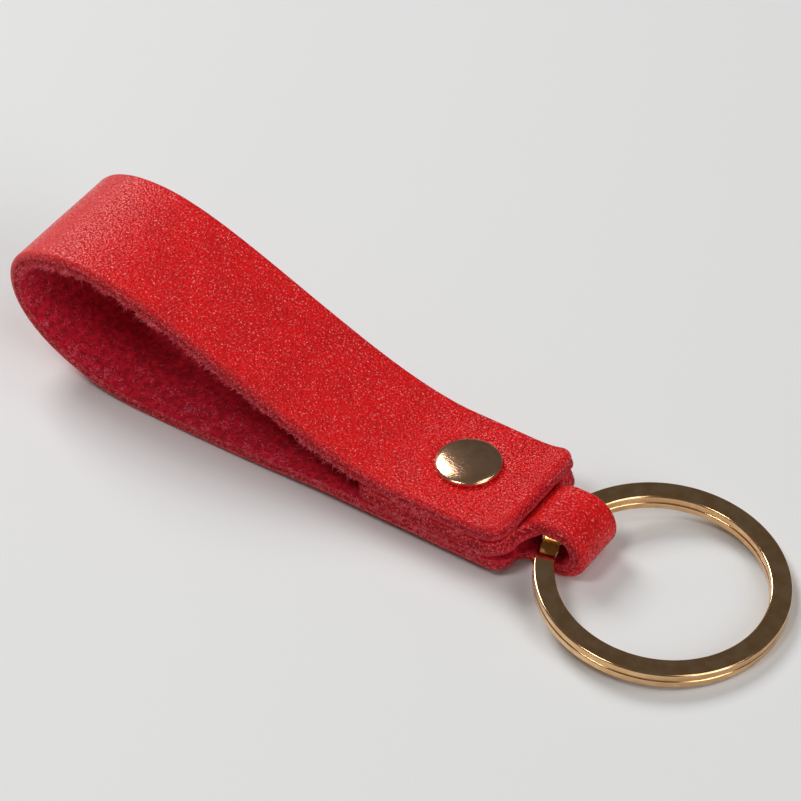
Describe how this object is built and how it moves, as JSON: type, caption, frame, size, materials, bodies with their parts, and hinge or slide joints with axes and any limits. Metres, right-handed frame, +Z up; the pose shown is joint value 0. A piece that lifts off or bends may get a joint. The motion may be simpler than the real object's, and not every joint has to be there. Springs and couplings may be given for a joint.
{
  "type": "key ring",
  "caption": "Leather finger-loop strap closed by a domed rivet, its narrow waist folded round a swinging split ring that holds keys.",
  "frame": {"origin": "on the table, under the middle of the whole length and width", "axes": "+X from the finger loop towards the split ring, +Y across the strap, +Z up from the table"},
  "size_m": [0.1042, 0.03, 0.0215],
  "materials": {
    "red_leather": "pebbled grain with a soft sheen, suede inside",
    "ring_gold": "polished gold",
    "rivet_gold": "polished pale gold"
  },
  "bodies": {
    "strap_body": {"strap": "red_leather", "rivet_top_cap": "rivet_gold", "rivet_socket": "rivet_gold", "rivet_stud": "rivet_gold", "rivet_bottom_cap": "rivet_gold"},
    "ring": {"split_ring": "ring_gold"}
  },
  "joints": [
    {"name": "ring_swing", "type": "hinge", "parent": "strap_body", "child": "ring", "pos_m": [0.02373, 0, 0.00381], "axis": [0, -1, 0], "range_deg": [-157, 159]}
  ]
}
